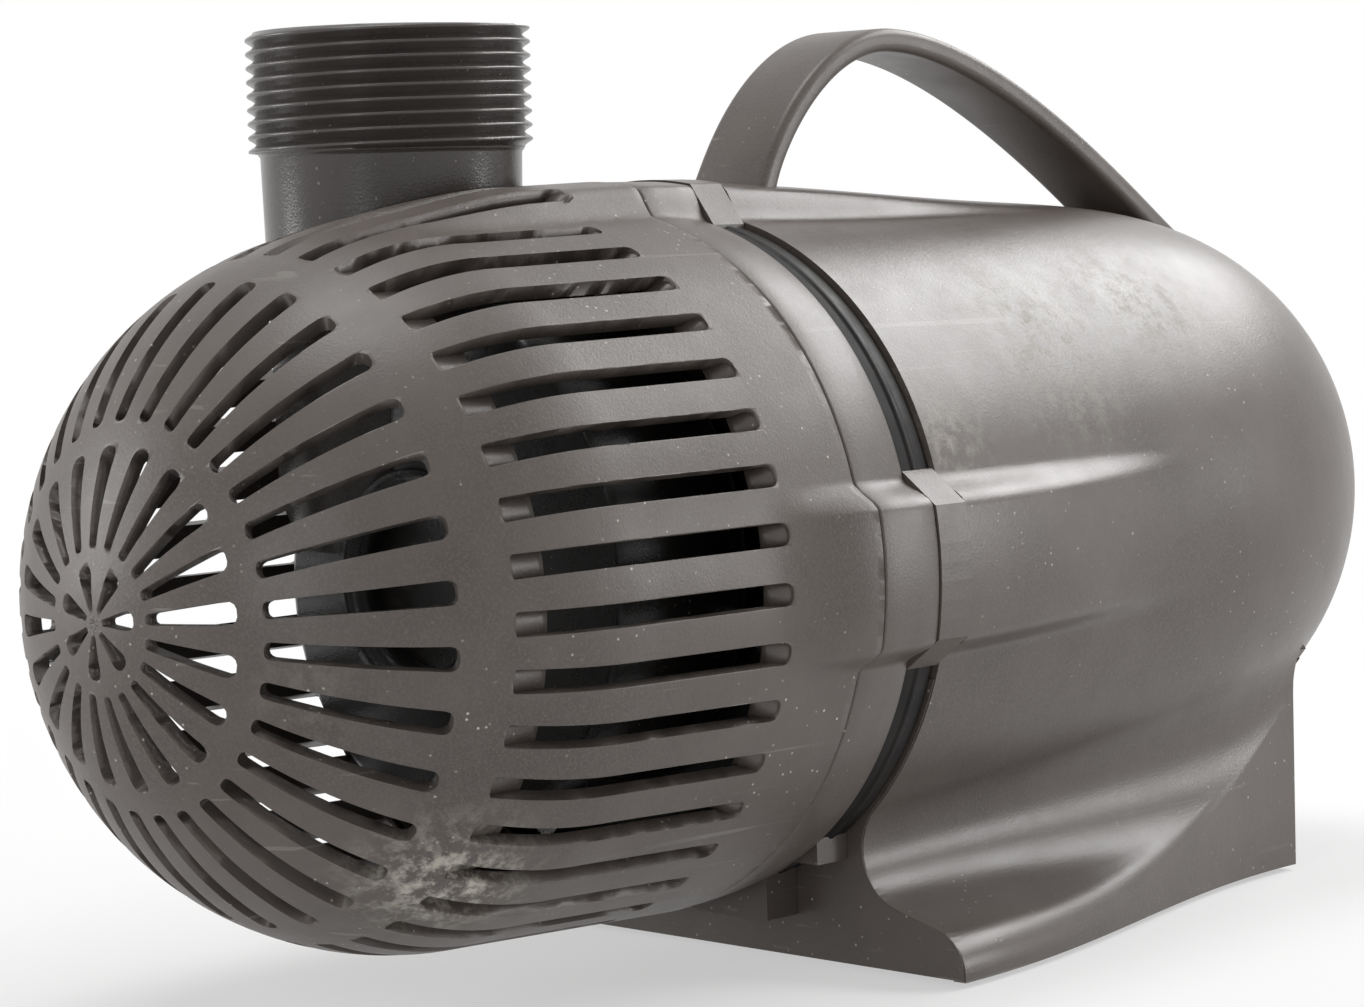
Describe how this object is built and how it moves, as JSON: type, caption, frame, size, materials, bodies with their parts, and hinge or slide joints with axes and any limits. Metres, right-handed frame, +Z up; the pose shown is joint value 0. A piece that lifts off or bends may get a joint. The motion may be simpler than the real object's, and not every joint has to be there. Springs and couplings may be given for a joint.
{
  "type": "submersible waterfall pump",
  "caption": "Submersible pond pump lying in a base cover with a strap handle, a slotted strainer cage with a domed nose and a threaded upright outlet beside the crest of the cage.",
  "frame": {"origin": "bottom centre of the whole pump, on the ground under the rubber pads", "axes": "+Z up, the pump axis along Y with the domed nose at -Y and the cover at +Y, +X towards the side seen in the picture"},
  "size_m": [0.1284, 0.2794, 0.1592],
  "materials": {
    "housing": "satin moulded plastic",
    "black_plastic": "satin moulded plastic",
    "motor_plastic": "satin moulded plastic",
    "seal": "matte rubber",
    "steel": "stainless",
    "ceramic": "ground ceramic",
    "iron": "coated iron",
    "copper": "enamelled copper wire"
  },
  "bodies": {
    "pump": {"strainer_cage": "housing", "volute": "black_plastic", "volute_seal": "seal", "volute_screws": "steel", "front_bush": "ceramic", "rear_bush": "ceramic", "bush_boot": "seal", "bearing_plate": "black_plastic", "rotor_can": "steel", "can_seal": "seal", "mounting_ring": "housing", "lobe_screws": "steel", "motor_housing": "motor_plastic", "stator_core": "iron", "windings": "copper", "thermal_switch": "steel", "end_cap": "black_plastic", "end_cap_seal": "seal", "end_cap_screws": "steel", "cable_gland": "black_plastic", "gland_nut": "black_plastic", "gland_seal": "seal", "cord_grommet": "seal", "cover_shell": "housing", "foot_pads": "seal"},
    "rotor": {"impeller": "black_plastic", "impeller_nut": "steel", "shaft": "ceramic", "rotor_magnet": "iron", "front_washer": "ceramic", "rear_washer": "ceramic"}
  },
  "joints": [
    {"name": "rotor_spin", "type": "hinge", "parent": "pump", "child": "rotor", "pos_m": [0, -0.0577, 0.0687], "axis": [0, 1, 0], "continuous": true}
  ]
}
